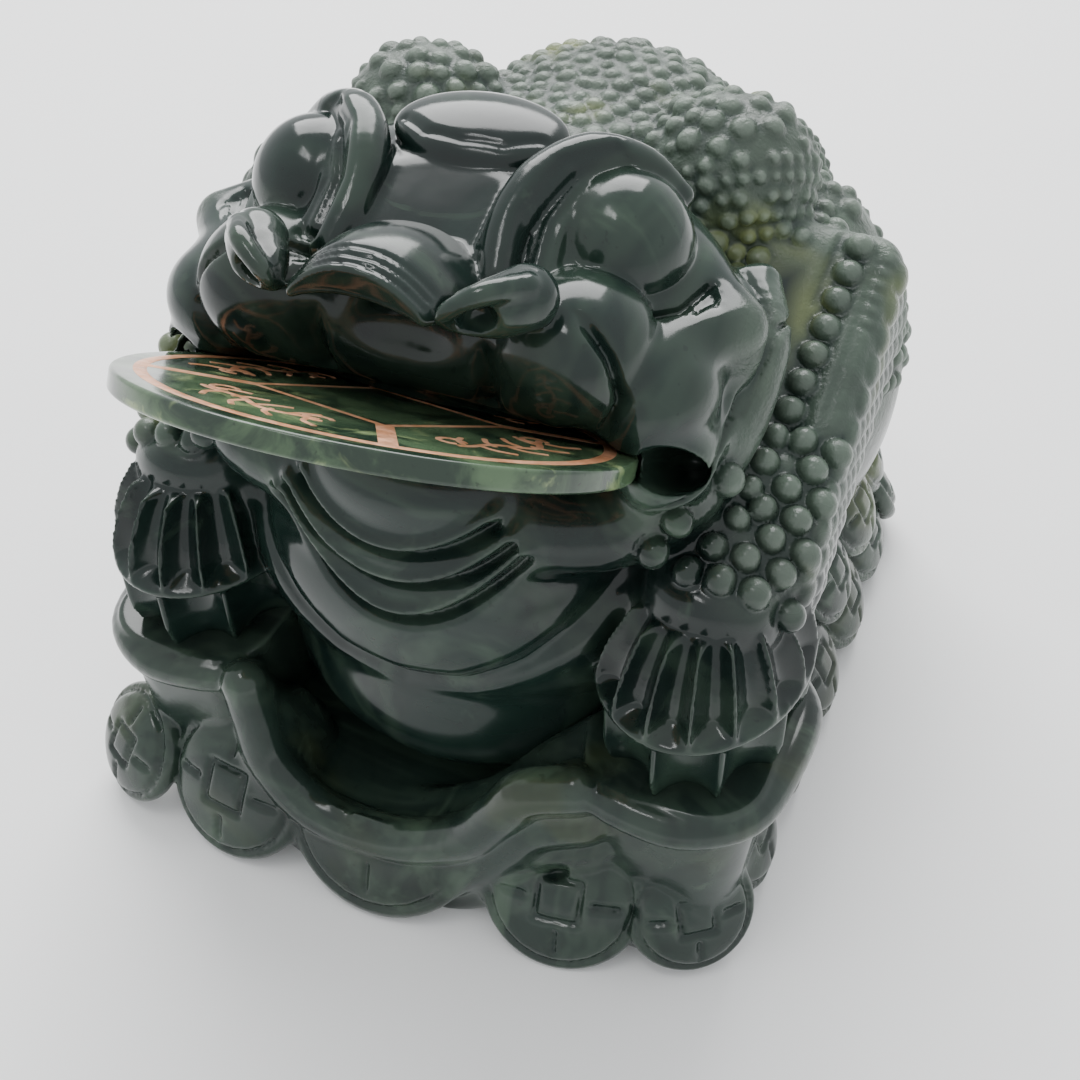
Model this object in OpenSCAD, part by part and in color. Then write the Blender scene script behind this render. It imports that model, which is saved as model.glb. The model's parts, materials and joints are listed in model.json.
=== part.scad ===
// Three-legged money toad in jade, on a plinth of cash coins, with a loose jade coin in its mouth.
// The toad looks along -Y, +X is its left side, and z = 0 is the surface that it stands on.

/* [Toad] */
// Width over the shoulders
shoulder_w = 164; // [150:1:172]
// Height of the brow peaks above the table
brow_h = 195; // [185:1:205]
// Radius of the eyeballs
eye_r = 16; // [12:0.5:18]
// Diameter of the larger pearls on the skin
pearl_d = 6.4; // [5:0.2:8]
// Number of pearls down the front edge of each shoulder
shoulder_pearls = 11; // [6:1:13]
// Number of ridges across each front foot
foot_ridges = 6; // [4:1:7]

/* [Coin] */
// Diameter of the loose coin
coin_d = 107.6; // [100:0.2:112]
// Thickness of the loose coin
coin_t = 4.6; // [3:0.1:6]
// How far the coin's pattern is turned from the mirror plane, in degrees
coin_spin = 28; // [0:1:90]
// How far the coin's front edge is tipped up, in degrees
coin_tilt = 31.6; // [28:0.2:34]
// Play between the coin and the mouth, all round
coin_play = 0.5; // [0.4:0.1:1.2]

/* [Gilding] */
// Width of the gilded lines
gilt_w = 1.3; // [0.8:0.1:2]
// Width of the gilded ring
ring_w = 2.6; // [1.5:0.1:3.5]
// Width of the bars that tie the square to the ring
tie_w = 3.6; // [2:0.1:5]
// Depth of the engraved lines
engraving = 0.5; // [0.3:0.1:0.8]
// Thickness of the gold in them
gilt_t = 0.35; // [0.2:0.05:0.6]

/* [Plinth] */
// Width of the plinth between the centres of its corner coins
corner_span = 152; // [148:1:156]
// Length of the plinth between the centres of its end coins
end_span = 192; // [184:1:196]
// Height of the deck that the belly rests on
deck_h = 24; // [18:1:28]
// Height of the plateau under each front foot
plateau_h = 64; // [56:1:68]
// Number of coins along each side of the plinth, between its corners
side_coins = 5; // [3:1:6]

/* [Hidden] */

jade = [0.10, 0.20, 0.15];
jade_rough = [0.16, 0.27, 0.19];
jade_light = [0.24, 0.36, 0.22];
gold = [0.72, 0.42, 0.22];

// Facets of rounded masses, of small pearls, and of the coin's true circles
mass_fn = 18;
small_fn = 8;
pearl_fn = 6;
coin_fn = 96;

// Coin centre and the mouth that holds it
coin_r = coin_d / 2;
coin_at = [0, -81.3, 151.3];
coin_travel = 75;
lip_w = 118;
corner_r = 4.5;

// Gilded ring, and the square whose corners it is tied to by short bars
ring_r = coin_r * 0.89;
square_r = coin_r * 0.483;
tie_l = ring_r - square_r;
leaf_r = coin_r * 0.65;
leaf_size = coin_r * 0.095;
leaf_fan = 22;

// Places on the toad
shoulder_x = shoulder_w / 2;
eye_at = [40, -42, brow_h - 15];
brow_at = [27, -27, brow_h - 8];
foot_at = [67, -66, plateau_h];
foot_w = 36;
foot_d = 32;
ridge_r = 3.4;
upper_tier = 18;
first_ridge_a = -46;
ridge_fan_a = 100;

// Larger than the part, for the blocks that trim it
beyond = 400;

// Seven mounds on the back: place and radii
mounds = [
    [[0, 54, 152], [34, 30, 19]],
    [[40, 26, 160], [20, 20, 17]],
    [[-40, 26, 160], [20, 20, 17]],
    [[58, 42, 142], [17, 18, 17]],
    [[-58, 42, 142], [17, 18, 17]],
    [[32, 80, 128], [22, 18, 16]],
    [[-32, 80, 128], [22, 18, 16]]
];

// Coins round the plinth's edge: radius, thickness, lean, and the lowest point of one
edge_coin_r = 17;
edge_coin_t = 13;
edge_lean = 32;
edge_low = edge_coin_r * cos(edge_lean) + edge_coin_t * 0.26 * sin(edge_lean);
upper_row = 22;
stroke_w = 0.9;
stroke_deep = 2;
side_x = corner_span / 2;
core_inset = 15;
front_y = -86;
back_y = front_y + end_span;

// Recess over the deck that the toad's belly and rump fill
seat_front = -82;
seat_half = side_x - 22;
seat_lip = -87;
arm_room_x = 44;
arm_room_back = -25;

// Path of the plinth's rim between the plateaus, by distance x from the middle
rim_r = 5;
rim_low = 26;
rim_half = 45;
rim_step = 7.5;
function rim_y(x) = -86 - 8 * cos(x * 1.6);
function rim_z(x) = rim_low + (plateau_h - rim_low) * pow(sin(min(90, abs(x) * 2)), 2) - rim_r;
function rim_at(x, drop = 0) = [x, rim_y(x), rim_z(x) - drop];

// One rounded mass, and a limb between two of them
module mass(at, r, fn = mass_fn) {
    translate(at) scale(r) sphere(r = 1, $fn = fn);
}

module limb(a, ra, b, rb, fn = small_fn) {
    hull() {
        mass(a, ra, fn);
        mass(b, rb, fn);
    }
}

module chain(points, r, fn = small_fn) {
    for (i = [0 : len(points) - 2]) limb(points[i], r, points[i + 1], r, fn);
}

module pearl(at, d = pearl_d) {
    translate(at) sphere(d = d, $fn = pearl_fn);
}

module both_sides() {
    children();
    mirror([1, 0, 0]) children();
}

// Moves its children to the coin's place in the mouth
module at_coin() {
    translate(coin_at) rotate([-coin_tilt, 0, 0]) children();
}

// Belly, chest, throat and rump
module trunk() {
    mass([0, 18, 98], [66, 80, 74]);
    mass([0, -34, 82], [56, 52, 54]);
    mass([0, -50, 56], [43, 36, 34]);
    limb([0, -52, 118], [48, 30, 22], [0, -30, 128], [54, 36, 26], mass_fn);
    mass([0, 66, 72], [60, 48, 56]);
    both_sides() limb([60, 60, 72], [24, 40, 44], [54, 84, 52], [24, 26, 30], mass_fn);
    limb([0, 84, 66], [24, 24, 28], [0, 94, 40], [20, 16, 18], mass_fn);
}

module shoulder() {
    limb([shoulder_x - 16, 14, 136], [16, 26, 26], [shoulder_x - 15, -44, 100], [16, 22, 20], mass_fn);
    for (i = [0 : shoulder_pearls - 1]) {
        t = i / (shoulder_pearls - 1);
        pearl([shoulder_x - 12 - 3 * t, -6 - 58 * t, 152 - 44 * t]);
    }
}

// Front foot: two tiers of ridges over a pad that stands on its plateau
module front_foot() {
    limb(foot_at + [0, 2, 12], [foot_w / 2 - 1, foot_d / 2 - 1, 20],
         foot_at + [-2, 18, 30], [16, 20, 18], mass_fn);
    mass(foot_at + [0, 0, 19], [foot_w / 2 + 0.5, foot_d / 2 + 0.5, 9]);
    for (i = [0 : foot_ridges - 1]) {
        a = first_ridge_a + ridge_fan_a * i / (foot_ridges - 1);
        out = [sin(a) * foot_w / 2, -cos(a) * foot_d / 2, 0];
        limb(foot_at + out + [0, 0, upper_tier], [ridge_r, ridge_r, ridge_r],
             foot_at + out * 0.5 + [0, 3, 34], [ridge_r, ridge_r, ridge_r]);
        limb(foot_at + out * 0.98 + [0, 0, ridge_r], [ridge_r, ridge_r, ridge_r],
             foot_at + out * 0.8 + [0, 0, 16], [ridge_r, ridge_r, ridge_r]);
    }
}

// Hind foot under the tail, folded flat on the deck
module hind_foot() {
    for (x = [-16 : 8 : 16]) limb([x * 0.6, 92, deck_h + 6], [5, 5, 5], [x, 106, deck_h + 4], [4, 4, 4]);
}

module head() {
    limb([0, -34, 158], [58, 34, 30], [0, -60, 160], [50, 26, 26], mass_fn);
    both_sides() {
        limb([48, -56, 156], [18, 24, 20], [38, -70, 164], [18, 18, 16], mass_fn);
        mass(eye_at, [eye_r * 0.95, eye_r * 1.1, eye_r]);
        limb(brow_at, [12, 13, 8], [38, -14, brow_h - 14], [14, 14, 8]);
        limb([14, -58, brow_h - 8], [6, 8, 6], brow_at - [2, 0, 0], [9, 10, 7]);
        chain([[56, -14, 176], [68, -30, 168], [70, -44, 154], [63, -58, 134], [52, -66, 124]], [6, 8, 7]);
        limb([27, -79, 183], [8, 9, 8], [22, -66, 184], [9, 8, 7]);
    }
    mass([0, -36, brow_h - 8], [16, 22, 7]);
    limb([0, -76, 178], [17, 13, 12], [0, -60, 178], [20, 14, 12], mass_fn);
    limb([-30, -66, 164], [18, 18, 12], [30, -66, 164], [18, 18, 12], mass_fn);
}

module lower_jaw() {
    limb([-46, -52, 132], [16, 20, 14], [46, -52, 132], [16, 20, 14], mass_fn);
    limb([-26, -64, 130], [16, 16, 12], [26, -64, 130], [16, 16, 12], mass_fn);
}

module back_mounds() {
    for (m = mounds) {
        mass(m[0], m[1], small_fn);
        for (a = [20 : 60 : 320])
            pearl(m[0] + [m[1][0] * 0.72 * cos(a), m[1][1] * 0.72 * sin(a), m[1][2] * 0.7], pearl_d * 0.9);
    }
}

// Space that the coin fills and sweeps as it is drawn out, with a pocket at each mouth corner
module coin_path() {
    at_coin() {
        hull() {
            for (out = [0, coin_travel * 2])
                translate([0, -out, 0])
                    cylinder(r = coin_r + coin_play, h = coin_t + 2 * coin_play, center = true, $fn = coin_fn);
        }
        for (s = [-1, 1])
            hull() {
                for (y = [-30, 4])
                    translate([s * (lip_w / 2 - corner_r), y, 0]) sphere(r = corner_r, $fn = small_fn);
            }
    }
}

// Space that the plinth fills: the deck, the plateaus and the front rim
module seat_clearance() {
    translate([-beyond / 2, -beyond / 2, 0]) cube([beyond, beyond, deck_h]);
    translate([-beyond / 2, seat_lip - beyond, 0]) cube([beyond, beyond, plateau_h - 4]);
    both_sides() {
        translate([arm_room_x, arm_room_back - beyond, 0]) cube([beyond, beyond, plateau_h]);
        translate([side_x - core_inset, 0, 0]) cube([beyond, beyond, deck_h + upper_row + 10]);
    }
}

module toad_figure() {
    color(jade)
    union() {
        difference() {
            union() {
                trunk();
                both_sides() {
                    shoulder();
                    front_foot();
                }
                head();
                lower_jaw();
                back_mounds();
                hind_foot();
            }
            coin_path();
            seat_clearance();
        }
    }
}

// One domed cash coin of the plinth, leaning outwards, with its square and strokes engraved
module edge_coin(at, facing, r = edge_coin_r) {
    translate(at) rotate([0, 0, facing]) rotate([90 - edge_lean, 0, 0])
    difference() {
        hull() {
            cylinder(r = r, h = edge_coin_t * 0.5, center = true, $fn = mass_fn);
            cylinder(r = r * 0.66, h = edge_coin_t, center = true, $fn = mass_fn);
        }
        for (q = [0, 90, 180, 270]) rotate([0, 0, q]) {
            translate([-r * 0.2, r * 0.16, edge_coin_t * 0.45]) cube([r * 0.4, stroke_w, stroke_deep]);
            translate([r * 0.34, -stroke_w / 2, edge_coin_t * 0.45]) cube([r * 0.24, stroke_w, stroke_deep]);
        }
    }
}

// The front row, the side rows and the back row of coins
module edge_coins() {
    side_pitch = end_span / (side_coins + 1);
    both_sides() {
        edge_coin([side_x + 1, front_y + 3, edge_low], 38);
        edge_coin([47, front_y - 1, edge_low + 2], 10, edge_coin_r + 3);
        for (i = [1 : side_coins]) edge_coin([side_x, front_y + i * side_pitch, edge_low], 90);
        for (i = [2 : side_coins]) edge_coin([side_x - 3, front_y + (i + 0.5) * side_pitch, edge_low + upper_row], 90);
        edge_coin([side_x - 3, back_y - 3, edge_low], 140);
        edge_coin([40, back_y, edge_low + 1], 176);
    }
    edge_coin([0, front_y, edge_low + 4], 0, edge_coin_r + 5);
    edge_coin([0, back_y + 1, edge_low + 1], 180);
}

// Solid core under the deck, its raised sides, and the plateau under each front foot
module core() {
    hull() {
        for (x = [-1, 1], y = [front_y + 12, back_y - 14])
            translate([x * (side_x - core_inset), y, 0]) cylinder(r = core_inset + 1, h = deck_h, $fn = mass_fn);
    }
    both_sides() {
        hull() {
            for (p = [[63, -72], [72, -66], [72, -44], [63, -44]])
                translate([p[0], p[1], 2]) cylinder(r1 = 12, r2 = 18, h = plateau_h - 2, $fn = mass_fn);
        }
    }
}

// Thick wavy rim round the front of the belly, from one plateau to the other
module front_rim() {
    for (x = [-rim_half : rim_step : rim_half - rim_step / 2]) {
        limb(rim_at(x), [rim_r, rim_r, rim_r + 1], rim_at(x + rim_step), [rim_r, rim_r, rim_r + 1]);
        hull() {
            for (u = [x, x + rim_step], drop = [rim_r, rim_z(u) - rim_r])
                translate(rim_at(u, drop)) sphere(r = rim_r * 0.8, $fn = pearl_fn);
        }
    }
}

module coin_plinth() {
    color(jade_rough)
    union() {
        difference() {
            union() {
                core();
                edge_coins();
                front_rim();
            }
            translate([-beyond / 2, -beyond / 2, -beyond]) cube([beyond, beyond, beyond]);
            translate([-seat_half, seat_front, deck_h]) cube([2 * seat_half, beyond, beyond]);
        }
    }
}

// Flat pattern of the gilding: ring, square, ties and a leaf spray on each side of the square
module ring_2d(r, w) {
    difference() {
        circle(r = r + w / 2, $fn = coin_fn);
        circle(r = r - w / 2, $fn = coin_fn);
    }
}

module square_2d() {
    side = square_r * sqrt(2);
    rotate(45) difference() {
        square(side + gilt_w, center = true);
        square(side - gilt_w, center = true);
    }
}

module leaf_2d() {
    for (a = [-40, 0, 40])
        rotate(a) translate([0, leaf_size * 0.9]) difference() {
            intersection() {
                translate([-leaf_size * 0.5, 0]) circle(r = leaf_size, $fn = small_fn * 2);
                translate([leaf_size * 0.5, 0]) circle(r = leaf_size, $fn = small_fn * 2);
            }
            square([gilt_w * 0.3, leaf_size], center = true);
        }
}

module gilding_2d() {
    rotate(coin_spin) {
        ring_2d(ring_r, ring_w);
        square_2d();
        for (q = [0, 90, 180, 270]) rotate(q) {
            translate([0, (ring_r + square_r) / 2]) square([tie_w, tie_l], center = true);
            rotate(45) for (s = [-1, 0, 1]) rotate(s * leaf_fan) translate([0, leaf_r]) leaf_2d();
        }
    }
}

module mouth_coin() {
    color(jade_light)
    at_coin() difference() {
        cylinder(r = coin_r, h = coin_t, center = true, $fn = coin_fn);
        for (s = [0, 180]) rotate([0, s, 0]) translate([0, 0, coin_t / 2 - engraving])
            linear_extrude(engraving + 1) gilding_2d();
    }
}

module gilding(face) {
    color(gold)
    at_coin() rotate([0, face, 0]) translate([0, 0, coin_t / 2 - engraving])
        linear_extrude(gilt_t) gilding_2d();
}

module coin_gilding_top() gilding(0);

module coin_gilding_bottom() gilding(180);

toad_figure();
coin_plinth();
mouth_coin();
coin_gilding_top();
coin_gilding_bottom();
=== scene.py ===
"""Jade money toad on a plinth of cash coins, with a loose jade coin in its mouth."""
import json
import math

import bpy
import numpy as np
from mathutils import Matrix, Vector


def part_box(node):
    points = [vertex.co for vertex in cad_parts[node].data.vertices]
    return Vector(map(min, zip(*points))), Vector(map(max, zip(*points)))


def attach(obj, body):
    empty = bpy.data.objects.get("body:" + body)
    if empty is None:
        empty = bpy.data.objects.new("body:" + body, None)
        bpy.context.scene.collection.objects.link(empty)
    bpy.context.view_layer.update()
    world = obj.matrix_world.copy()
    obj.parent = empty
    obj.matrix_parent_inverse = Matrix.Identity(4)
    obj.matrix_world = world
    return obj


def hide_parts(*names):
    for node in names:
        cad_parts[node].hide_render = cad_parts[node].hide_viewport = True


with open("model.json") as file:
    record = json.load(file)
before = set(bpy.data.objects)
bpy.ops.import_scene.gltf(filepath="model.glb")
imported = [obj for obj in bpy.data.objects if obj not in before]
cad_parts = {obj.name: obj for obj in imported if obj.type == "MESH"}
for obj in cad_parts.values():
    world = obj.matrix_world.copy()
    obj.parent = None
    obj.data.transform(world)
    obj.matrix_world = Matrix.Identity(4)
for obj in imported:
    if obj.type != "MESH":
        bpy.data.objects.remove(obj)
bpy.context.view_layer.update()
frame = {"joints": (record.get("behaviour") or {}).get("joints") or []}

import openvdb
from mathutils import Matrix, Vector

MM = 0.001
STEP = 0.65          # grid spacing of the clay, in mm
FAR = 1000.0
GOLDEN = math.pi * (3 - math.sqrt(5))


# ---------------------------------------------------------------- clay: a field of distances, in mm

def unit(v):
    v = np.asarray(v, float)
    return v / np.linalg.norm(v)


def curve(points, per_span=6):
    """Points along a smooth curve through the given ones."""
    p = np.asarray(points, float)
    if len(p) < 3:
        t = np.linspace(0, 1, per_span + 1)[:, None]
        return p[0] * (1 - t) + p[-1] * t
    ext = np.vstack([2 * p[0] - p[1], p, 2 * p[-1] - p[-2]])
    out = []
    for i in range(1, len(ext) - 2):
        a, b, c, d = ext[i - 1:i + 3]
        for t in np.linspace(0, 1, per_span, endpoint=False):
            out.append(0.5 * (2 * b + (c - a) * t + (2 * a - 5 * b + 4 * c - d) * t * t
                              + (3 * b - a - 3 * c + d) * t ** 3))
    out.append(p[-1])
    return np.array(out)


def blended_min(a, b, k):
    """The smaller of two distances, with the crease between them filled over k."""
    if k <= 0:
        return np.minimum(a, b)
    h = np.maximum(k - np.abs(a - b), 0) / k
    return np.minimum(a, b) - h * h * (k / 4)


class Clay:
    """A carving, or its half at x >= 0, held as a grid of distances. Negative is inside."""

    def __init__(self, low, high):
        self.low = np.array(low, float)
        self.step = STEP
        counts = [int(math.ceil((high[i] - low[i]) / STEP)) + 1 for i in range(3)]
        self.axes = [(low[i] + STEP * np.arange(counts[i])).astype(np.float32) for i in range(3)]
        self.d = np.full(counts, FAR, np.float32)

    def window(self, low, high):
        """Slices of the grid that hold a box, and its x, y and z, or None if it lies outside."""
        cut = []
        for i in range(3):
            first = max(0, int(math.floor((low[i] - self.low[i]) / self.step)))
            last = min(self.d.shape[i], int(math.ceil((high[i] - self.low[i]) / self.step)) + 1)
            if last <= first:
                return None
            cut.append(slice(first, last))
        x = self.axes[0][cut[0]][:, None, None]
        y = self.axes[1][cut[1]][None, :, None]
        z = self.axes[2][cut[2]][None, None, :]
        return tuple(cut), x, y, z

    def add(self, shape, blend=0.0):
        self._mix(shape, blend, 1)

    def cut(self, shape, blend=0.0):
        self._mix(shape, blend, -1)

    def _mix(self, shape, blend, sign):
        field, low, high = shape
        pad = blend + 3 * self.step
        spot = self.window(np.asarray(low) - pad, np.asarray(high) + pad)
        if spot is None:
            return
        cut, x, y, z = spot
        d = field(x, y, z)
        if sign > 0:
            self.d[cut] = blended_min(self.d[cut], d, blend)
        else:
            self.d[cut] = -blended_min(-self.d[cut], d, blend)

    def stamp(self, path, width, depth, along=None, reach=9.0, sharp=False):
        """Sinks a groove of this width and depth along a path, or raises a ridge if depth is negative.
        With along, the path is a line drawn on the surface seen from that direction."""
        path = np.asarray(path, float)
        margin = 2.4 * width
        grow = np.full(3, margin)
        if along is not None:
            along = unit(along)
            grow = margin + np.abs(along) * reach
        spot = self.window(path.min(0) - grow, path.max(0) + grow)
        if spot is None:
            return
        whole = spot[0]
        near = np.full(self.d[whole].shape, FAR, np.float32)
        for a, b in zip(path[:-1], path[1:]):
            part = self.window(np.minimum(a, b) - grow, np.maximum(a, b) + grow)
            if part is None:
                continue
            cut, x, y, z = part
            px, py, pz = x - a[0], y - a[1], z - a[2]
            ab = b - a
            if along is not None:
                w = px * along[0] + py * along[1] + pz * along[2]
                ab_flat = ab - along * (ab @ along)
                t = (px * ab_flat[0] + py * ab_flat[1] + pz * ab_flat[2]) / max(ab_flat @ ab_flat, 1e-6)
                t = np.clip(t, 0, 1)
                slide = ab @ along
                dx = px - ab_flat[0] * t - along[0] * w
                dy = py - ab_flat[1] * t - along[1] * w
                dz = pz - ab_flat[2] * t - along[2] * w
                r = np.sqrt(dx * dx + dy * dy + dz * dz)
                over = np.maximum(np.abs(w - slide * t) - reach * 0.6, 0) / (reach * 0.4)
                r = r + over * margin
            else:
                t = np.clip((px * ab[0] + py * ab[1] + pz * ab[2]) / max(ab @ ab, 1e-6), 0, 1)
                dx, dy, dz = px - ab[0] * t, py - ab[1] * t, pz - ab[2] * t
                r = np.sqrt(dx * dx + dy * dy + dz * dz)
            sub = tuple(slice(c.start - outer.start, c.stop - outer.start) for c, outer in zip(cut, whole))
            near[sub] = np.minimum(near[sub], r)
        if sharp:
            shape = np.maximum(0, 1 - near / (1.6 * width)) ** 1.5
        else:
            shape = np.exp(-np.minimum(near / width, 6) ** 2)
        self.d[whole] += depth * shape

    def depth_at(self, points):
        """Distance at points, read from the grid."""
        p = (np.atleast_2d(points) - self.low) / self.step
        top = np.array(self.d.shape) - 2
        i = np.clip(np.floor(p).astype(int), 0, top)
        f = np.clip(p - i, 0, 1)
        out = 0
        for k in range(8):
            o = np.array([(k >> 2) & 1, (k >> 1) & 1, k & 1])
            weight = np.prod(np.where(o, f, 1 - f), axis=1)
            j = i + o
            out = out + weight * self.d[j[:, 0], j[:, 1], j[:, 2]]
        return out

    def skin(self, start, direction, length=120.0):
        """First point outside the clay, going from start, which is inside, in a direction."""
        direction = unit(direction)
        t = np.arange(0, length, self.step * 0.5)
        d = self.depth_at(np.asarray(start, float) + t[:, None] * direction)
        out = np.nonzero((d[1:] > 0) & (d[:-1] <= 0))[0]
        if not len(out):
            return None
        k = out[-1]
        s = t[k] + (t[k + 1] - t[k]) * d[k] / (d[k] - d[k + 1])
        return np.asarray(start, float) + s * direction


def turned(turn):
    """Rotation by degrees about x, then y, then z."""
    x, y, z = (math.radians(a) for a in turn)
    return np.array(Matrix.Rotation(z, 3, "Z") @ Matrix.Rotation(y, 3, "Y") @ Matrix.Rotation(x, 3, "X"))


def ball(at, r, turn=(0, 0, 0)):
    """An ellipsoid, turned by degrees about x, y and z."""
    at = np.asarray(at, float)
    r = np.asarray(r if np.ndim(r) else (r, r, r), float)
    rot = turned(turn)
    reach = np.sqrt(((rot * r) ** 2).sum(1))

    def field(x, y, z):
        x, y, z = x - at[0], y - at[1], z - at[2]
        if any(turn):
            u = x * rot[0, 0] + y * rot[1, 0] + z * rot[2, 0]
            v = x * rot[0, 1] + y * rot[1, 1] + z * rot[2, 1]
            w = x * rot[0, 2] + y * rot[1, 2] + z * rot[2, 2]
        else:
            u, v, w = x, y, z
        u, v, w = u / r[0], v / r[1], w / r[2]
        k0 = np.sqrt(u * u + v * v + w * w) + 1e-4
        k1 = np.sqrt((u / r[0]) ** 2 + (v / r[1]) ** 2 + (w / r[2]) ** 2) + 1e-4 / r.max()
        return (k0 * (k0 - 1) / k1).astype(np.float32)

    return field, at - reach, at + reach


def tube(points, radii, smooth=True):
    """A round bar along a curve, whose radius changes evenly from point to point."""
    path = curve(points, 5) if smooth else np.asarray(points, float)
    radii = np.broadcast_to(np.asarray(radii, float), (len(points),))
    r = np.interp(np.linspace(0, len(points) - 1, len(path)), np.arange(len(points)), radii)

    def field(x, y, z):
        out = np.float32(FAR)
        for a, b, ra, rb in zip(path[:-1], path[1:], r[:-1], r[1:]):
            ab = b - a
            px, py, pz = x - a[0], y - a[1], z - a[2]
            t = np.clip((px * ab[0] + py * ab[1] + pz * ab[2]) / max(ab @ ab, 1e-6), 0, 1)
            d = np.sqrt((px - ab[0] * t) ** 2 + (py - ab[1] * t) ** 2 + (pz - ab[2] * t) ** 2)
            out = np.minimum(out, d - (ra + (rb - ra) * t))
        return out.astype(np.float32)

    return field, (path - r[:, None]).min(0), (path + r[:, None]).max(0)


def slab(at, half, turn=(0, 0, 0), edge=1.0):
    """A box with rounded edges, turned by degrees about x, y and z."""
    at, half = np.asarray(at, float), np.asarray(half, float)
    rot = turned(turn)
    reach = (np.abs(rot) * half).sum(1)

    def field(x, y, z):
        x, y, z = x - at[0], y - at[1], z - at[2]
        q = [np.abs(x * rot[0, i] + y * rot[1, i] + z * rot[2, i]) - (half[i] - edge) for i in range(3)]
        out = np.sqrt(sum(np.maximum(c, 0) ** 2 for c in q))
        return (out + np.minimum(np.maximum(np.maximum(q[0], q[1]), q[2]), 0) - edge).astype(np.float32)

    return field, at - reach, at + reach


# ---------------------------------------------------------------- mesh

def mesh_piece(name, clay, matt, mirrored=True, flat_base=None):
    """The clay's surface as an object, with how hollow each point lies as an attribute, which the jade uses
    for painted shade in hollows and painted highlight on ridges.
    """
    band = 3 * clay.step
    half = np.clip(clay.d, -band, band)
    full = np.concatenate([half[:0:-1], half]) if mirrored else half
    first_x = -clay.axes[0][-1] if mirrored else clay.axes[0][0]
    grid = openvdb.FloatGrid(band)
    grid.copyFromArray(np.ascontiguousarray(full), tolerance=1e-5)
    points, quads = grid.convertToQuads(0.0)
    points = np.asarray(points, float) * clay.step
    points += np.array([first_x, clay.axes[1][0], clay.axes[2][0]])
    quads = np.asarray(quads)
    quads = largest_shell(points, quads)
    used, quads = np.unique(quads, return_inverse=True)
    points, quads = points[used], quads.reshape(-1, 4)
    a, b, c = points[quads[:, 0]], points[quads[:, 1]], points[quads[:, 2]]
    if np.einsum("ij,ij->", a, np.cross(b, c)) < 0:
        quads = quads[:, ::-1]
    points, hollow = relax(points, quads)
    if flat_base is not None:
        points[:, 2] = np.maximum(points[:, 2], flat_base)
    mesh = bpy.data.meshes.new(name)
    mesh.vertices.add(len(points))
    mesh.vertices.foreach_set("co", (points * MM).astype(np.float32).ravel())
    mesh.loops.add(quads.size)
    mesh.loops.foreach_set("vertex_index", quads.astype(np.int32).ravel())
    mesh.polygons.add(len(quads))
    mesh.polygons.foreach_set("loop_start", np.arange(0, quads.size, 4, dtype=np.int32))
    mesh.update(calc_edges=True)
    mesh.validate()
    mesh.shade_smooth()
    layer = mesh.attributes.new("hollow", "FLOAT", "POINT")
    layer.data.foreach_set("value", hollow.astype(np.float32))
    layer = mesh.attributes.new("matt", "FLOAT", "POINT")
    layer.data.foreach_set("value", np.clip(matt(points), 0, 1).astype(np.float32))
    piece = bpy.data.objects.new(name, mesh)
    bpy.context.scene.collection.objects.link(piece)
    return piece


def largest_shell(points, quads):
    """Only the faces of the largest closed shell."""
    label = np.arange(len(points))
    while True:
        low = label[quads].min(1)
        new = label.copy()
        for k in range(4):
            np.minimum.at(new, quads[:, k], low)
        new = new[new]
        if np.array_equal(new, label):
            break
        label = new
    names, counts = np.unique(label[quads[:, 0]], return_counts=True)
    return quads[label[quads[:, 0]] == names[counts.argmax()]]


EASED_ROUNDS = 2                       # averaging that takes the grid's steps out
WIDE_ROUNDS = 14                       # averaging that gives each point's surroundings


def relax(points, quads):
    """Points eased towards their neighbours, and how far each lies below its surroundings, in mm."""
    a = quads.ravel()
    b = np.roll(quads, -1, axis=1).ravel()
    src, dst = np.concatenate([a, b]), np.concatenate([b, a])
    count = np.bincount(src, minlength=len(points)).astype(float)

    def average(p):
        sums = [np.bincount(src, weights=p[dst, k], minlength=len(points)) for k in range(3)]
        return np.stack([total / count for total in sums], 1)

    for _ in range(EASED_ROUNDS):
        points = points + 0.5 * (average(points) - points)
    corner = points[quads]
    face = np.cross(corner[:, 2] - corner[:, 0], corner[:, 3] - corner[:, 1])
    normal = np.zeros_like(points)
    for k in range(4):
        for i in range(3):
            normal[:, i] += np.bincount(quads[:, k], weights=face[:, i], minlength=len(points))
    normal /= np.maximum(np.linalg.norm(normal, axis=1), 1e-9)[:, None]
    wide_points = points
    for _ in range(WIDE_ROUNDS):
        wide_points = average(wide_points)
    return points, np.einsum("ij,ij->i", wide_points - points, normal)


# ---------------------------------------------------------------- sizes shared by the sculpture, in mm

coin_low, coin_high = (np.array(v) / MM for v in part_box("mouth_coin"))
COIN_AT = (coin_low + coin_high) / 2
COIN_AT[0] = 0.0
COIN_R = (coin_high[0] - coin_low[0]) / 2
slide = next(j for j in frame["joints"] if j["name"] == "coin_slide")
OUT = unit(slide["axis"])                                  # the way the coin leaves the mouth
COIN_UP = np.array([0.0, OUT[2], -OUT[1]])                 # square to the coin's faces
COIN_T = ((coin_high - coin_low)[1] - 2 * COIN_R * abs(OUT[1])) / abs(OUT[2])
toad_low, _ = (np.array(v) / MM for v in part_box("toad_figure"))
_, base_high = (np.array(v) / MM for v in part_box("coin_plinth"))
PLATEAU = round(base_high[2]) - 1.0                        # height the front feet stand at
DECK = toad_low[2]                                         # height the toad sits at
UP = np.array([0.0, 0.0, 1.0])
FACE = unit([0.0, -0.75, 0.66])                            # the way the face looks
CHEEK = unit([0.6, -0.7, 0.35])                            # the way the cheek looks
SIDE = np.array([1.0, 0.0, 0.0])


def bent(points, sideways):
    """The same line moved sideways."""
    return [tuple(np.asarray(p, float) + np.asarray(sideways, float)) for p in points]


SLOPE = 0.8                            # distance to a sloping surface, as a share of the height above it


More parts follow.
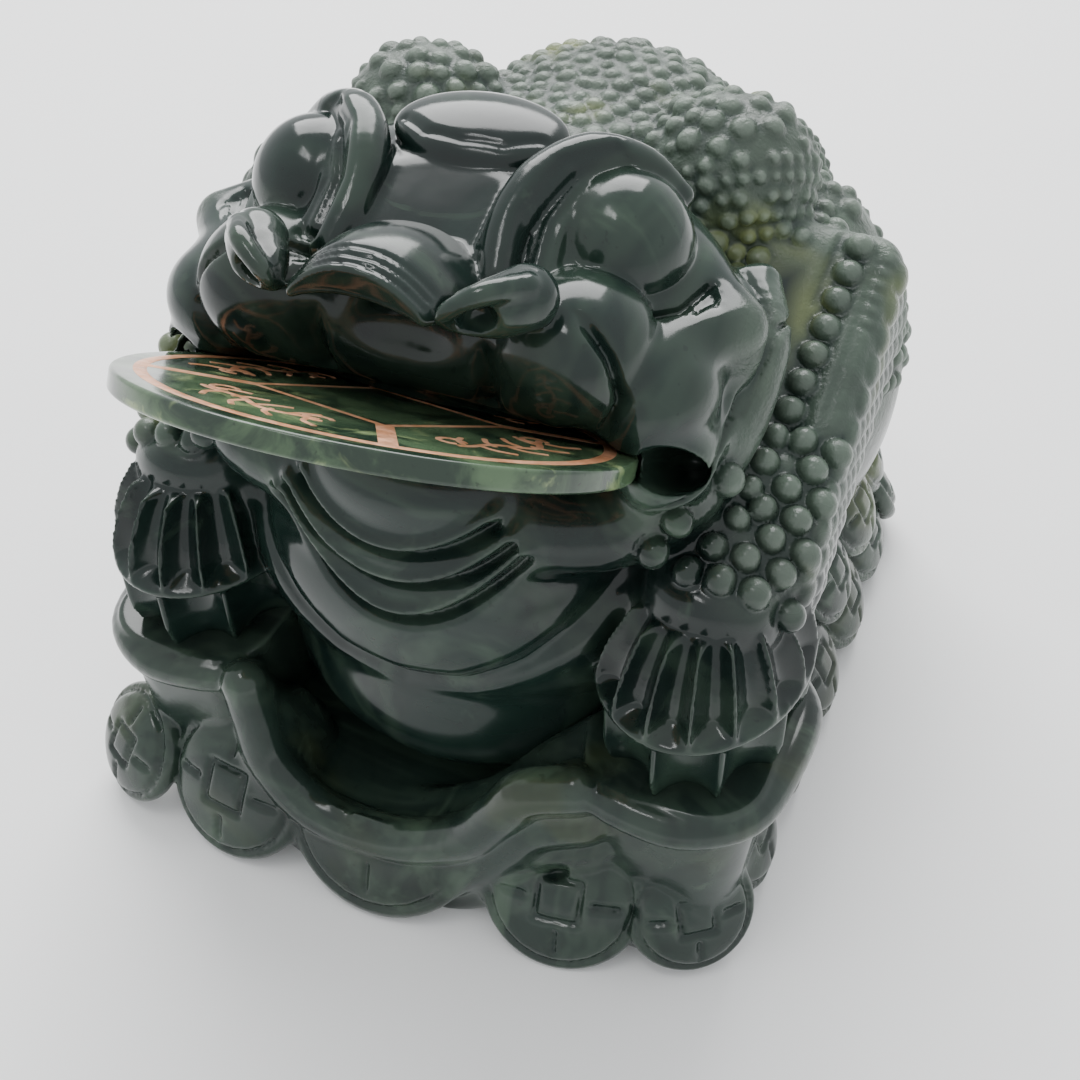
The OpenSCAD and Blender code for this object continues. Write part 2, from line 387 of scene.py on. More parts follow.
def height_field(top, low, high):
    """A solid under the surface z = top(x, y), within a box."""
    def field(x, y, z):
        d = (z - top(x, y)) * SLOPE
        for v, a, b in ((x, low[0], high[0]), (y, low[1], high[1]), (z, low[2], high[2])):
            d = np.maximum(d, np.maximum(a - v, v - b))
        return d.astype(np.float32)
    return field, low, high


# ---------------------------------------------------------------- toad: large masses

def trunk(clay):
    clay.add(ball((0, 18, 98), (68, 82, 72)))
    clay.add(ball((0, 40, 120), (58, 60, 50)), 12)
    clay.add(ball((0, -40, 90), (59, 47, 42)), 8)
    clay.add(ball((0, -40, 60), (51, 43, 40)), 3)
    clay.add(ball((0, 66, 72), (60, 48, 56)), 16)
    clay.add(ball((0, -48, 116), (46, 38, 27)), 5)
    clay.add(ball((0, 88, 56), (24, 24, 34)), 12)
    clay.add(slab((0, 4, 38), (47, 62, 14), edge=10), 8)


def throat(clay):
    """Pouch under the coin, three undercut terraces round it, and the belly's fold."""
    clay.add(ball((0, -58, 128), (31, 27, 15)), 3)
    for half, low, bow in ((23, 117.5, 0.0175), (27.5, 108, 0.0192), (30, 98, 0.0235)):
        arc = [(x, -84 + 0.008 * x * x, low + bow * x * x) for x in np.linspace(-6, half, 12)]
        clay.stamp(bent(arc, (0, 0, 2.4)), 1.8, -1.9, along=(0, -1, 0.15), reach=16)
        clay.stamp(bent(arc, (0, 0, -0.6)), 1.5, 3.6, along=(0, -1, 0.15), reach=16)
    fold = [(-6, -83, 76), (16, -83, 79.5), (30, -81, 88), (39, -78, 96), (50, -70, 109)]
    clay.stamp(fold, 3.2, 2.6, along=(0.1, -1, 0), reach=18)


def haunch(clay):
    clay.add(ball((60, 66, 78), (25, 42, 46), (-14, 0, 0)), 5)
    clay.add(ball((0, 96, 36), (17, 17, 16)), 8)
    for x in (0, 9, 18):
        clay.add(tube([(x * 0.5, 96, 34), (x * 0.9, 106, 31), (x, 112, 27)], (5, 4.6, 3)), 1.5)


ARM_DOWN = unit([0.0, -0.876, -0.483])                     # along the upper arm, towards the foot
ARM_FACE = unit([0.0, -0.483, 0.876])                      # square to the arm's pearled face


def shoulder(clay):
    clay.add(slab((68, -10, 121), (19, 18, 45), (-61, 0, 0), 8), 7)
    clay.add(ball((62, 34, 116), (22, 34, 32)), 10)
    clay.add(tube([(66, -34, 112), (67, -54, 102)], (18, 19), smooth=False), 6)
    clay.add(ball((66.5, -47, 106), (18, 24, 6), (-8, 0, 0)), 4)


# ---------------------------------------------------------------- toad: head

def skull(clay):
    clay.add(ball((0, -30, 156), (60, 34, 32)), 8)
    clay.add(ball((0, -46, 166), (36, 22, 20)), 8)
    clay.add(tube([(0, -57, 157), (16, -58, 158), (33, -61, 162)], (12.5, 13, 15)), 3)


def cheeks(clay):
    """Broad flange from eye to mouth corner, with a pad on it, and the upper lip's lobe."""
    clay.add(slab((46, -42, 158), (16, 20, 12), (0, 12, -38), 7), 3)
    clay.add(ball((50, -57, 155), (14, 15, 12), (0, 0, -30)), 4)
    clay.add(ball((35, -60, 164), (16.5, 17.5, 15), (0, 0, -10)), 1.2)
    crease = [(44, -75, 181), (49, -74, 172), (51.5, -73, 162), (49, -78, 151)]
    clay.stamp(crease, 1.3, 3.4, along=CHEEK, reach=14, sharp=True)


def arch(x):
    """Height of the nose's roof at a distance x from its middle, down to the valley."""
    return 190 - 8.6 * np.minimum(np.abs(x) / 15.6, 1.3) ** 2.2


def roof(x, y):
    return arch(x) - 0.016 * (y + 78) ** 2


def nose(clay):
    """Arched roof with lines along its front edge, flared nostrils, and the hollow under it over the lips."""
    clay.add(height_field(roof, (-17.5, -86.5, 174), (17.5, -58, 196)), 0.8)
    clay.add(tube([(15, -84, 179), (20, -82, 181), (26, -77, 181), (29.5, -72, 181)], (2.6, 4, 6, 6.5)), 1.2)
    rim = [(15.6, -86, 180.5), (20, -85.5, 184), (26, -82, 187), (31, -75, 185.5)]
    clay.add(tube(rim, (1.5, 2, 2.4, 2.6)), 1.2)
    for inset in (2.0, 4.2, 6.4):
        edge = [(x, -86.5 + inset, arch(x)) for x in np.linspace(-3, 14, 9)]
        clay.stamp(edge, 0.6, 0.8, along=UP, reach=12, sharp=True)
    clay.stamp([(16, -87, 182), (17.5, -77, 183), (20, -66, 183)], 1.4, 3.0, along=UP, reach=14, sharp=True)
    clay.cut(ball((26, -87, 181.6), (4.4, 8, 3.4), (0, -18, 20)), 0.6)
    clay.cut(ball((0, -96, 167), (24, 32, 16)), 1.5)
    clay.cut(ball((0, -92, 161), (17, 23, 11)), 2)
    beside_lobe = [(18, -86, 176), (20, -82, 168), (21, -79, 160), (20, -77, 153)]
    clay.stamp(beside_lobe, 2.4, 4.5, along=(0.1, -1, 0.2), reach=16)
    clay.cut(ball((22, -93, 173), (10, 10, 5)), 3)


def brow(clay):
    """Two folds that rise between the forehead's panel and the eye, and turn outwards over it."""
    outer = [(19, -62, 176), (17.5, -52, 183), (20, -42, 188), (27, -32, 190), (36, -26, 187), (44, -24, 181)]
    clay.add(tube(outer, (4.5, 5, 5.5, 5.5, 4.5, 3)), 1.2)
    inner = [(25, -56, 176), (24.5, -48, 181), (27, -40, 185.5), (33, -33, 187)]
    clay.add(tube(inner, (4, 4.2, 4.2, 3.5)), 1.2)
    for n in range(3):
        lid = [(22 + 2.4 * n, -62, 178), (20.6 + 2.6 * n, -50, 185), (24.5 + 2.6 * n, -38 - n, 191),
               (32 + 1.5 * n, -30 - 1.5 * n, 192)]
        clay.stamp(lid, 1.2, 1.2, along=FACE, reach=9)


def crown(clay):
    """Sunk panel between the brows, and the plate that overhangs it."""
    clay.cut(slab((0, -51, 188.6), (13, 12, 5), (22, 0, 0), 1.2), 0.5)
    clay.add(ball((0, -27, 189), (20, 13, 5.6), (6, 0, 0)), 0.8)
    clay.stamp([(-3, -37, 194), (9, -35.5, 194), (16, -31, 193)], 0.8, 0.7, along=UP, reach=10)


def eye(clay):
    """Tall smooth dome with fine folds below it that curl up its outer side."""
    clay.add(ball((36, -36.5, 174), (14.8, 15.5, 16), (0, 0, -22)), 1.0)
    for n, deep in ((0, 2.2), (1, 1.6), (2, 1.3)):
        low = [(24, -64, 176), (29, -60, 170), (40, -53, 165), (50, -43, 164), (54, -35, 166.5)]
        clay.stamp(bent(low, (1.0 * n, -1.4 * n, -1.6 * n)), 1.0, deep, along=(0.45, -0.6, 0.66), reach=9)


def jaw(clay):
    """Ring that carries the lower lip round to the flange, and the flange's own edge."""
    clay.add(ball((53, -40, 138), (15, 24, 16)), 4)
    clay.add(ball((55, -58, 141), (11, 15, 12)), 3)
    ring = [(60, -12, 156), (64, -27, 150), (62, -44, 134), (55, -58, 126), (38, -67, 121), (0, -72, 119)]
    clay.add(tube(ring, (5, 7.5, 8, 9, 9.5, 9)), 4)
    edge = [(58, -8, 170), (66, -26, 158), (66, -46, 146), (61, -62, 139), (56, -70, 135)]
    clay.stamp(edge, 1.0, 2.4, along=(0.8, -0.6, 0.2), reach=14, sharp=True)


def mouth(clay):
    """The slot that the coin lies in and slides out through, with a pocket at each corner."""
    half_t = COIN_T / 2 + 0.4

    def slot(x, y, z):
        py, pz = y - COIN_AT[1], z - COIN_AT[2]
        along = py * OUT[1] + pz * OUT[2]
        across = np.abs(py * COIN_UP[1] + pz * COIN_UP[2]) - half_t
        disc = np.sqrt(x * x + np.minimum(along, 0) ** 2) - (COIN_R + 0.8)
        return np.maximum(disc, across).astype(np.float32)

    clay.cut((slot, (0, -140, 110), (58, -20, 190)), 0.4)
    clay.cut(ball((58.5, -68, 144.5), (7, 24, 5), (-32, 0, 0)), 0.5)


# ---------------------------------------------------------------- toad: feet and skin

FOOT_AT = (66, -55)
FOOT_LONG = 1.36                                           # how much longer than wide a foot is


def fluted(at, radius, depth, top, bottom, flutes, first=0.0):
    """A drum whose radius follows height, with scooped flutes between ridges round its front."""
    widest = max(radius(z) for z in np.linspace(bottom, top, 12))

    def field(x, y, z):
        dx, dy = x - at[0], (y - at[1]) / FOOT_LONG
        rho = np.sqrt(dx * dx + dy * dy)
        turn = np.arctan2(dx, -dy) * flutes / (2 * np.pi) + first
        u = turn - np.floor(turn)
        scoop = np.clip((4 * u * (1 - u) - 0.12) / 0.88, 0, 1) ** 0.75
        d = rho - (radius(z) - depth(z) * scoop)
        return (np.maximum(d * 0.75, np.maximum(z - top, bottom - z))).astype(np.float32)

    long = widest * FOOT_LONG
    return field, (at[0] - widest, at[1] - long, bottom), (at[0] + widest, at[1] + long, top)


def front_foot(clay):
    """Two fluted tiers under a smooth cuff: the upper flares to a plain hem over the lower."""
    cx, cy = FOOT_AT
    clay.add(tube([(cx, cy + 4, PLATEAU - 4), (cx, cy + 4, 98)], (14, 14), smooth=False), 2)
    clay.add(fluted(FOOT_AT, lambda z: 24.8 - 0.02 * np.maximum(74 - z, 0) ** 2,
                    lambda z: 4.4, 86, PLATEAU - 3, 10, 0.1), 0.4)
    clay.add(fluted(FOOT_AT, lambda z: 25.2 - 0.03 * np.maximum(z - 86, 0) ** 1.85,
                    lambda z: 4.6 * np.clip((z - 85) / 2.5, 0, 1), 105, 83.5, 16, 0.35), 0.4)


def bead(clay, at, r, blend=0.5):
    clay.add(ball(at, r), blend)


MOUNDS = (((0, 56, 154), (34, 30, 18)), ((41, 26, 162), (21, 20, 18)), ((57, 41, 138), (17, 17, 16)),
          ((32, 82, 132), (22, 18, 18)), ((0, 100, 112), (20, 16, 18)))


def back(clay, rng):
    """Mounds, covered in knobs, with pearls round their feet."""
    for at, r in MOUNDS:
        clay.add(ball(at, r), 7)
    heart = np.array([0.0, 24.0, 110.0])
    taken = []
    count = 4200
    for k in range(count):
        z = 1 - 1.25 * (k + 0.5) / count
        a = GOLDEN * k
        way = np.array([math.cos(a) * math.sqrt(1 - z * z), math.sin(a) * math.sqrt(1 - z * z), z])
        if way[0] < -0.02:
            continue
        at = clay.skin(heart, way)
        if at is None or not knobbly(at):
            continue
        on_mound = min(np.sum(((np.abs(at) - m) / r) ** 2 * (1, 1, 1.6)) for m, r in MOUNDS)
        size = rng.uniform(1.5, 2.5) if on_mound < 1.25 else rng.uniform(2.6, 3.7)
        if any(np.sum((at - other) ** 2) < (size + r) ** 2 * 0.74 for other, r in taken):
            continue
        taken.append((at, size))
    for at, size in taken:
        bead(clay, at - 0.42 * size * unit(at - heart), size, 0.3)


def knobbly(p):
    """Whether a place on the skin is on the rough back."""
    behind_head = p[1] > -8 + max(0, abs(p[0]) - 30) * 0.5
    high_enough = p[2] > 100 - 0.42 * p[1]
    on_shoulder = p[0] > 70 and p[1] < 50
    return behind_head and high_enough and not on_shoulder


def on_arm(x, down):
    """Inside the upper arm, at x and this far down its length from the top."""
    return np.array([x, 0, 0]) + np.array([0.0, 26.0, 141.0]) + ARM_DOWN * down


def shoulder_pearls(clay):
    """Pearls in a column down the arm's face and in rows below it, and scales on its side."""
    column = [(76.5 - 0.085 * down, down, 3.7) for down in 3 + 7.4 * np.arange(11)]
    rows = [(56 + 7.2 * k + 3.6 * (row % 2), 54 + 6.3 * row, 3.9) for row in range(7) for k in range(5)]
    rows = [p for p in rows if not any(abs(p[0] - q[0]) + abs(p[1] - q[1]) < 6.5 for q in column)]
    inner_edge = [clay.skin(on_arm(71.5 - 0.085 * t, t), ARM_FACE, 40) for t in (0, 20, 40, 60)]
    clay.stamp(inner_edge, 1.0, 2.2, sharp=True)
    outer_edge = [clay.skin(on_arm(81.5 - 0.02 * t, t), ARM_FACE, 40) for t in (2, 18, 34, 50)]
    clay.stamp(outer_edge, 1.1, 1.3, sharp=True)
    for k in range(6):
        a, b = (clay.skin(on_arm(x, 6 + 3.4 * k), ARM_FACE, 40) for x in (79.5, 84.5))
        clay.stamp([a, b], 0.8, 1.0, sharp=True)
    for x, down, r in column + rows:
        at = clay.skin(on_arm(x, down), ARM_FACE, 40)
        if at is not None:
            clay.stamp([at - ARM_FACE, at + ARM_FACE], 4.4, 2.0)
            bead(clay, at - 0.45 * r * ARM_FACE, r, 0.3)
    for row in range(9):
        for k in range(10):
            inside = on_arm(60, 6 + 8.2 * k + 4.1 * (row % 2)) - ARM_FACE * (4.4 * row - 10)
            at = clay.skin(inside, SIDE, 40)
            if at is not None:
                clay.add(ball(at - 1.4 * SIDE, (2.9, 4.3, 4.9), (-61, 0, 0)), 0.2)


def build_toad():
    clay = Clay((0, -100, 20), (96, 128, 206))
    trunk(clay)
    haunch(clay)
    shoulder(clay)
    front_foot(clay)
    jaw(clay)
    throat(clay)
    skull(clay)
    cheeks(clay)
    brow(clay)
    eye(clay)
    crown(clay)
    nose(clay)
    back(clay, np.random.default_rng(7))
    shoulder_pearls(clay)
    mouth(clay)
    return clay


# ---------------------------------------------------------------- plinth

RIM = ((-44, -88, 60), (-42, -89, 48), (-38, -91, 35), (-25, -93, 24), (-2, -94, 24),
       (18, -93, 34), (28, -92, 47), (35, -91, 57), (46, -88, 60))
BELLY_EDGE = ((-41, -72, 42), (-38, -74, 33), (-34, -76, 24), (-24, -78, 19), (-2, -79, 25),
              (14, -78, 34), (26, -76, 44), (34, -74, 55), (44, -70, 64))
STONE_LEAN = 30                        # degrees that a plinth coin leans back
STONE_THICK = 11


def coin_stone(clay, at, facing, r):
    """A domed cash coin leaning back, with its ring, square and four strokes engraved."""
    a, b = math.radians(facing), math.radians(STONE_LEAN)
    out = np.array([math.sin(a) * math.cos(b), -math.cos(a) * math.cos(b), math.sin(b)])
    side = np.array([math.cos(a), math.sin(a), 0.0])
    rise = np.cross(side, -out) * -1
    at = np.asarray(at, float)
    clay.add(ball(at, (r, STONE_THICK * 0.68, r), (-STONE_LEAN, 0, facing)), 0.8)
    turns = np.linspace(0, 2 * math.pi, 25)
    ring = [at + out * 3 + (side * math.cos(t) + rise * math.sin(t)) * r * 0.86 for t in turns]
    clay.stamp(ring, 0.9, 1.5, along=out, reach=9, sharp=True)
    q = r * 0.26
    around = ((-1, -1), (1, -1), (1, 1), (-1, 1), (-1, -1))
    corners = [at + out * 6 + side * u * q + rise * v * q for u, v in around]
    clay.stamp(corners, 0.9, 1.7, along=out, reach=9, sharp=True)
    for n in range(4):
        t = math.pi / 2 * n
        way = side * math.cos(t) + rise * math.sin(t)
        stroke = [at + out * 6 + way * r * share for share in (0.42, 0.7)]
        clay.stamp(stroke, 0.9, 1.6, along=out, reach=9, sharp=True)


def build_plinth():
    clay = Clay((-108, -114, -2), (108, 130, 72))
    clay.add(slab((0, 17, 12), (66, 93, 12), (0, 0, 0), 8))

    def plateau(x, y, z):
        d = np.sqrt(np.maximum(np.abs(np.abs(x) - 66) - 8, 0) ** 2 + np.maximum(np.abs(y + 60) - 14, 0) ** 2)
        flare = 10 + 4 * np.clip((z - 20) / 40, 0, 1)
        return np.maximum(d - flare, z - PLATEAU).astype(np.float32)

    clay.add(slab((0, -64, 14), (74, 26, 14), (0, 0, 0), 9), 4)
    for at, facing, r in (((74, -80, 17), 36, 17), ((43, -88, 18), 8, 21.5), ((-7, -89, 25), 0, 28),
                          ((-51, -90, 20), -8, 22), ((-86, -86, 16.5), -30, 17), ((0, 111, 18), 180, 18)):
        coin_stone(clay, at, facing, r)
    for s in (-1, 1):
        for x, y, z, facing, r in ((78, -52, 17, 90, 17), (78, -20, 17, 90, 17), (79, 12, 17, 90, 17),
                                   (79, 44, 17, 90, 17), (78, 76, 17, 90, 17), (74, 104, 17, 135, 17),
                                   (38, 110, 18, 176, 18), (76, 30, 38, 90, 16), (76, 62, 38, 90, 16),
                                   (72, 92, 38, 110, 16)):
            coin_stone(clay, (s * x, y, z), s * facing, r)
    clay.cut(slab((0, 4, DECK + 22), (46, 98, 22), (0, 0, 0), 6), 1)
    clay.add((plateau, (-94, -94, 0), (94, -30, PLATEAU)), 2)
    for share, r in ((0.0, 4), (0.25, 4.5), (0.5, 5), (0.75, 5.5)):
        line = [np.array(a) * share + np.array(b) * (1 - share) for a, b in zip(RIM, BELLY_EDGE)]
        sag = 2.0 * math.sin(math.pi * share)
        clay.add(tube(bent(line, (0, 0, -r - sag)), r), 3)
        clay.add(tube(bent(line, (0, 0, -r - 9)), 8), 3)
    clay.add(tube(RIM, 6), 1)
    for back, drop, r in ((3, 6, 6), (5, 15, 7), (8, 26, 9)):
        clay.add(tube(bent(RIM, (0, back, -drop)), r), 3)
    for s in (-1, 1):
        lip = [(s * 44, -84, PLATEAU - 5), (s * 56, -88, PLATEAU - 5), (s * 72, -88, PLATEAU - 6),
               (s * 85, -79, PLATEAU - 6), (s * 89, -62, PLATEAU - 6), (s * 89, -44, PLATEAU - 6),
               (s * 82, -32, PLATEAU - 6)]
        clay.add(tube(lip, (4, 5, 5, 5, 5, 5, 4)), 1.5)
    clay.cut(slab((0, 0, -20), (200, 200, 20), edge=0.1), 0)
    return clay


# ---------------------------------------------------------------- coin

def coin_place():
    """Matrix from the coin's own flat frame, in mm, to its place in the mouth."""
    m = Matrix((Vector((1, 0, 0)), Vector(-OUT), Vector(COIN_UP))).transposed().to_4x4()
    return Matrix.Scale(MM, 4) @ Matrix.Translation(Vector(COIN_AT)) @ m


def flat_piece(name, points, faces, smooth=True):
    place = coin_place()
    mesh = bpy.data.meshes.new(name)
    mesh.from_pydata([place @ Vector(p) for p in points], [], faces)
    mesh.validate()
    if smooth:
        mesh.shade_smooth()
    piece = bpy.data.objects.new(name, mesh)
    bpy.context.scene.collection.objects.link(piece)
    return piece


def coin_disc(name):
    """The coin: a disc with eased edges, a touch uneven, as it was cut and tumbled by hand."""
    h, ease, around = COIN_T / 2, 0.9, 240
    profile = [(COIN_R * f, h) for f in (0.02, 0.2, 0.4, 0.6, 0.8, 0.95)]
    for t in np.linspace(0, math.pi / 2, 7):
        profile.append((COIN_R - ease + ease * math.sin(t), h - ease + ease * math.cos(t)))
    profile += [(r, -z) for r, z in profile[::-1]]
    points, faces = [], []
    for k in range(around):
        a = 2 * math.pi * k / around
        uneven = 0.12 * math.sin(3 * a + 1) + 0.08 * math.sin(7 * a) - 0.2
        for r, z in profile:
            rim_r = r + uneven * (r / COIN_R) ** 8
            points.append((rim_r * math.cos(a), rim_r * math.sin(a), z))
    n = len(profile)
    for k in range(around):
        nxt = (k + 1) % around
        faces += [(k * n + i, k * n + i + 1, nxt * n + i + 1, nxt * n + i) for i in range(n - 1)]
    faces.append([k * n for k in range(around)])
    faces.append([k * n + n - 1 for k in reversed(range(around))])
    return flat_piece(name, points, faces)


def on_face(r, degrees):
    return np.array([r * math.cos(math.radians(degrees)), r * math.sin(math.radians(degrees))])


RING_R = COIN_R * 0.89
SQUARE_R = COIN_R * 0.483
LEAF_R = 35.5                          # where the leafy scroll runs
SPIN = math.radians(28)                # how far the coin's pattern is turned


def pattern():
    """The coin's painted lines: ring, square, four ties and a leafy scroll in each quarter."""
    lines = [([on_face(RING_R, a) for a in np.arange(0, 360, 3)], 1.35, True),
             ([on_face(SQUARE_R, a) for a in (0, 90, 180, 270)], 0.75, True)]
    for q in (0, 90, 180, 270):
        lines.append(([on_face(SQUARE_R - 0.5, q), on_face(RING_R, q)], 1.8, False))
        mid = q + 45
        stem = [on_face(LEAF_R + 1.6 * math.sin(a / 5), mid + a) for a in range(-24, 25, 3)]
        lines.append((stem, 0.75, False))
        for k in range(8):
            a, s = -21 + 6 * k, (1 if k % 2 else -1)
            leaf = [on_face(LEAF_R + out * s, mid + a + turn) for out, turn in ((0, 0), (3.6, 1.5), (6.4, 6))]
            lines.append((curve(leaf, 4), 0.62, False))
        for s in (-1, 1):
            eye = on_face(33.0, mid + s * 23)
            curl = [eye + 2.6 * np.array([math.cos(t), math.sin(t)]) for t in np.linspace(0, 5, 10)]
            lines.append((curl, 0.6, False))
    return lines


def inlay(name, side):
    """The painted lines on one face of the coin, each a low strip with a rounded top."""
    points, faces = [], []
    top = COIN_T / 2
    spin = np.array([[math.cos(SPIN), -math.sin(SPIN)], [math.sin(SPIN), math.cos(SPIN)]])
    for line, half, closed in pattern():
        line = np.array(line) @ spin.T
        n = len(line)
        ahead = np.roll(line, -1, 0) - line
        if not closed:
            ahead[-1] = ahead[-2]
        ahead /= np.linalg.norm(ahead, axis=1)[:, None]
        before = np.roll(ahead, 1, 0)
        if not closed:
            before[0] = ahead[0]
        mean = ahead + before
        mean /= np.linalg.norm(mean, axis=1)[:, None]
        across = np.stack([-mean[:, 1], mean[:, 0]], 1) / np.maximum((mean * ahead).sum(1), 0.5)[:, None]
        ring = [(-1, -0.3), (-1, 0.02), (-0.6, 0.10), (0, 0.13), (0.6, 0.10), (1, 0.02), (1, -0.3)]
        start, m = len(points), len(ring)
        for p, w in zip(line, across):
            for u, v in ring:
                x, y = p + w * half * u
                points.append((x, side * y, side * (top + v)))
        for k in range(n if closed else n - 1):
            a, b = start + k * m, start + (k + 1) % n * m
            faces += [(a + i, a + (i + 1) % m, b + (i + 1) % m, b + i) for i in range(m)]
        if not closed:
            faces += [[start + i for i in reversed(range(m))], [start + (n - 1) * m + i for i in range(m)]]
    return flat_piece(name, points, faces, smooth=False)




# ---------------------------------------------------------------- materials

class Nodes:
    """Short names for building a material's node tree."""

    def __init__(self, name):
        self.mat = bpy.data.materials.new(name)
        self.mat.use_nodes = True
        self.tree = self.mat.node_tree
        self.shader = self.tree.nodes["Principled BSDF"]
        coords = self.tree.nodes.new("ShaderNodeTexCoord")
        self.place = coords.outputs["Object"]

    def put(self, value, socket):
        if isinstance(value, bpy.types.NodeSocket):
            self.tree.links.new(value, socket)
        else:
            socket.default_value = value

    def noise(self, scale, detail=3.0, rough=0.55, warp=0.0, at=None):
        node = self.tree.nodes.new("ShaderNodeTexNoise")
        node.inputs["Scale"].default_value = scale
        node.inputs["Detail"].default_value = detail
        node.inputs["Roughness"].default_value = rough
        node.inputs["Distortion"].default_value = warp
        self.put(at or self.place, node.inputs["Vector"])
        return node.outputs["Fac"]

    def ramp(self, value, low, high, to_low=0.0, to_high=1.0):
        node = self.tree.nodes.new("ShaderNodeMapRange")
        node.interpolation_type = "SMOOTHSTEP"
        for name, v in (("Value", value), ("From Min", low), ("From Max", high),
                        ("To Min", to_low), ("To Max", to_high)):
            self.put(v, node.inputs[name])
        return node.outputs["Result"]

    def math(self, kind, a, b=0.0):
        node = self.tree.nodes.new("ShaderNodeMath")
        node.operation = kind
        self.put(a, node.inputs[0])
        self.put(b, node.inputs[1])
        return node.outputs[0]

    def mix(self, share, a, b):
        node = self.tree.nodes.new("ShaderNodeMix")
        node.data_type = "RGBA"
        self.put(share, node.inputs["Factor"])
        self.put((*a, 1.0) if isinstance(a, tuple) else a, node.inputs["A"])
        self.put((*b, 1.0) if isinstance(b, tuple) else b, node.inputs["B"])
        return node.outputs["Result"]

    def attribute(self, name):
        node = self.tree.nodes.new("ShaderNodeAttribute")
        node.attribute_name = name
        return node.outputs["Fac"]

    def bump(self, height, distance, strength=1.0, under=None):
        node = self.tree.nodes.new("ShaderNodeBump")
        node.inputs["Distance"].default_value = distance
        node.inputs["Strength"].default_value = strength
        self.put(height, node.inputs["Height"])
        if under is not None:
            self.put(under, node.inputs["Normal"])
        return node.outputs["Normal"]

    def finish(self, colour, rough, normal=None, ior=1.5):
        self.put(colour, self.shader.inputs["Base Color"])
        self.put(rough, self.shader.inputs["Roughness"])
        self.shader.inputs["IOR"].default_value = ior
        if normal is not None:
            self.put(normal, self.shader.inputs["Normal"])
        return self.mat


def jade(name, dark, mid, pale, dusty, seed, patchy=0.5):
    """Polished dark jade with cloudy patches and veins, and a dull, paler ground where it was left matt.
    Raised ridges are painted paler as painted highlight, and hollows in the matt ground are painted darker as
    painted shade.
    """
    n = Nodes(name)
    shift = n.tree.nodes.new("ShaderNodeVectorMath")
    shift.operation = "ADD"
    shift.inputs[1].default_value = (seed, seed * 0.7, seed * 1.3)
    n.put(n.place, shift.inputs[0])
    at = shift.outputs[0]
    cloud = n.noise(16, 5, 0.6, 0.6, at)
    body = n.mix(n.ramp(cloud, 0.35, 0.68), dark, mid)
    body = n.mix(n.math("MULTIPLY", n.ramp(n.noise(34, 4, 0.6, 0.9, at), 0.56, 0.74), patchy), body, pale)
    vein = n.math("ABSOLUTE", n.math("SUBTRACT", n.noise(12, 4, 0.6, 0.8, at), 0.5))
    body = n.mix(n.ramp(vein, 0.0, 0.05, 0.22, 0.0), body, pale)
    fleck = n.ramp(n.noise(420, 2, 0.5, 0, at), 0.67, 0.72, 0.0, 0.35)
    body = n.mix(fleck, body, dark)
    hollow = n.attribute("hollow")
    # painted highlight: raised ridges and edges (negative hollow) are mixed towards the pale tone
    body = n.mix(n.ramp(hollow, -1.2, -0.12, 0.42, 0.0), body, pale)
    matt = n.attribute("matt")
    ground = n.mix(n.ramp(n.noise(48, 5, 0.65, 0.4, at), 0.35, 0.66), dusty, tuple(0.62 * c for c in dusty))
    ground = n.mix(n.ramp(n.noise(19, 3, 0.5, 0.8, at), 0.56, 0.70, 0.0, 0.75), ground, (0.20, 0.235, 0.085))
    # painted shade: hollows in the matt ground (positive hollow) are mixed towards the darker mid tone
    ground = n.mix(n.ramp(hollow, 0.0, 0.5, 0.0, 0.85), ground, mid)
    # painted highlight: raised bumps in the matt ground (negative hollow) are mixed towards a pale grey-green
    ground = n.mix(n.ramp(hollow, -0.7, -0.1, 0.35, 0.0), ground, (0.27, 0.33, 0.27))
    colour = n.mix(matt, body, ground)
    smear = n.noise(60, 3, 0.5, 0.3, at)
    shiny = n.ramp(smear, 0.3, 0.7, 0.10, 0.19)
    rough = n.math("ADD", n.math("MULTIPLY", matt, 0.26), shiny)
    grit = n.math("ADD", n.noise(900, 3, 0.6, 0, at), n.math("MULTIPLY", n.noise(260, 3, 0.6, 0.3, at), 3.0))
    fine = n.bump(grit, 0.00022, 0.5)
    n.put(n.ramp(matt, 0.0, 1.0, 0.02, 0.9), fine.node.inputs["Strength"])
    soft = n.bump(n.noise(110, 2, 0.5, 0.2, at), 0.0004, 0.12, fine)
    return n.finish(colour, rough, soft, ior=1.43)


def coin_jade(name):
    """Dark polished jade with apple-green clouds that show best along the coin's edge."""
    n = Nodes(name)
    cloud = n.noise(55, 5, 0.6, 0.8)
    colour = n.mix(n.ramp(cloud, 0.38, 0.62), (0.014, 0.030, 0.018), (0.075, 0.125, 0.065))
    colour = n.mix(n.ramp(n.noise(95, 4, 0.6, 0.6), 0.56, 0.70, 0.0, 0.8), colour, (0.24, 0.31, 0.14))
    colour = n.mix(n.ramp(n.noise(700, 2), 0.66, 0.72, 0.0, 0.5), colour, (0.01, 0.02, 0.012))
    rough = n.ramp(n.noise(80, 3), 0.3, 0.7, 0.10, 0.22)
    return n.finish(colour, rough, n.bump(n.noise(160, 3), 0.0003, 0.15), ior=1.5)


def gold_paint(name):
    """Copper-gold paint, brushed into the lines, a little worn."""
    n = Nodes(name)
    colour = n.mix(n.ramp(n.noise(220, 4, 0.6), 0.35, 0.65), (0.62, 0.27, 0.13), (0.80, 0.42, 0.25))
    colour = n.mix(n.ramp(n.noise(600, 3, 0.6), 0.62, 0.70, 0.0, 0.7), colour, (0.22, 0.09, 0.05))
    n.shader.inputs["Metallic"].default_value = 0.45
    rough = n.ramp(n.noise(350, 3), 0.3, 0.7, 0.30, 0.50)
    return n.finish(colour, rough, n.bump(n.noise(500, 3), 0.0002, 0.4), ior=1.5)


# ---------------------------------------------------------------- camera, light and floor

